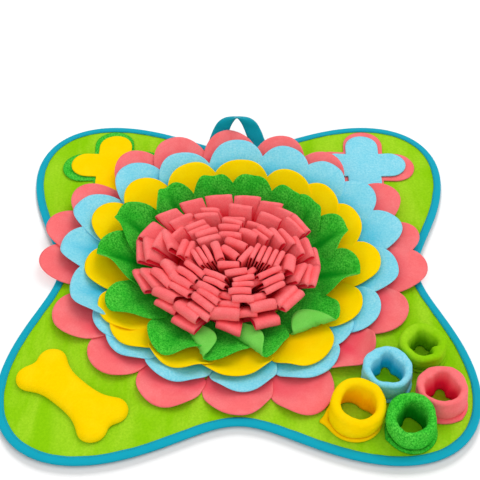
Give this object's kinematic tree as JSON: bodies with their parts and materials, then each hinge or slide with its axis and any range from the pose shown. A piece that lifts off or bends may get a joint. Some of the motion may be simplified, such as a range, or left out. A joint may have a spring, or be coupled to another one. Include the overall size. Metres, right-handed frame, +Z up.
{
  "type": "snuffle mat",
  "caption": "Fleece snuffle mat for hiding dog treats: bound lobed panel, rows of petals round a cluster of folded strips, padded bone, treat cups and a carry loop.",
  "frame": {"origin": "centre of the underside, on the surface that the mat lies on", "axes": "+Z up, away from the surface; -Y towards the front edge; the carry loop is at the +Y edge"},
  "size_m": [0.5998, 0.5998, 0.0616],
  "materials": {
    "lime_fleece": "matt brushed fleece",
    "pink_fleece": "matt brushed fleece",
    "blue_fleece": "matt brushed fleece",
    "yellow_fleece": "matt brushed fleece",
    "green_fleece": "matt pebbled fleece",
    "teal_binding": "folded woven tape",
    "teal_webbing": "woven webbing"
  },
  "bodies": {
    "root": {"base_panel": "lime_fleece", "binding": "teal_binding", "handle": "teal_webbing", "petals_pink": "pink_fleece", "petals_blue": "blue_fleece", "petals_yellow": "yellow_fleece", "petals_green": "green_fleece", "loops": "pink_fleece", "bone": "yellow_fleece", "cup_yellow": "yellow_fleece", "cup_blue": "blue_fleece", "cup_green": "green_fleece", "cup_pink": "pink_fleece", "cup_lime": "lime_fleece", "flower_green": "green_fleece", "flower_yellow": "yellow_fleece", "flower_pink": "pink_fleece", "flower_blue": "blue_fleece"}
  },
  "joints": []
}
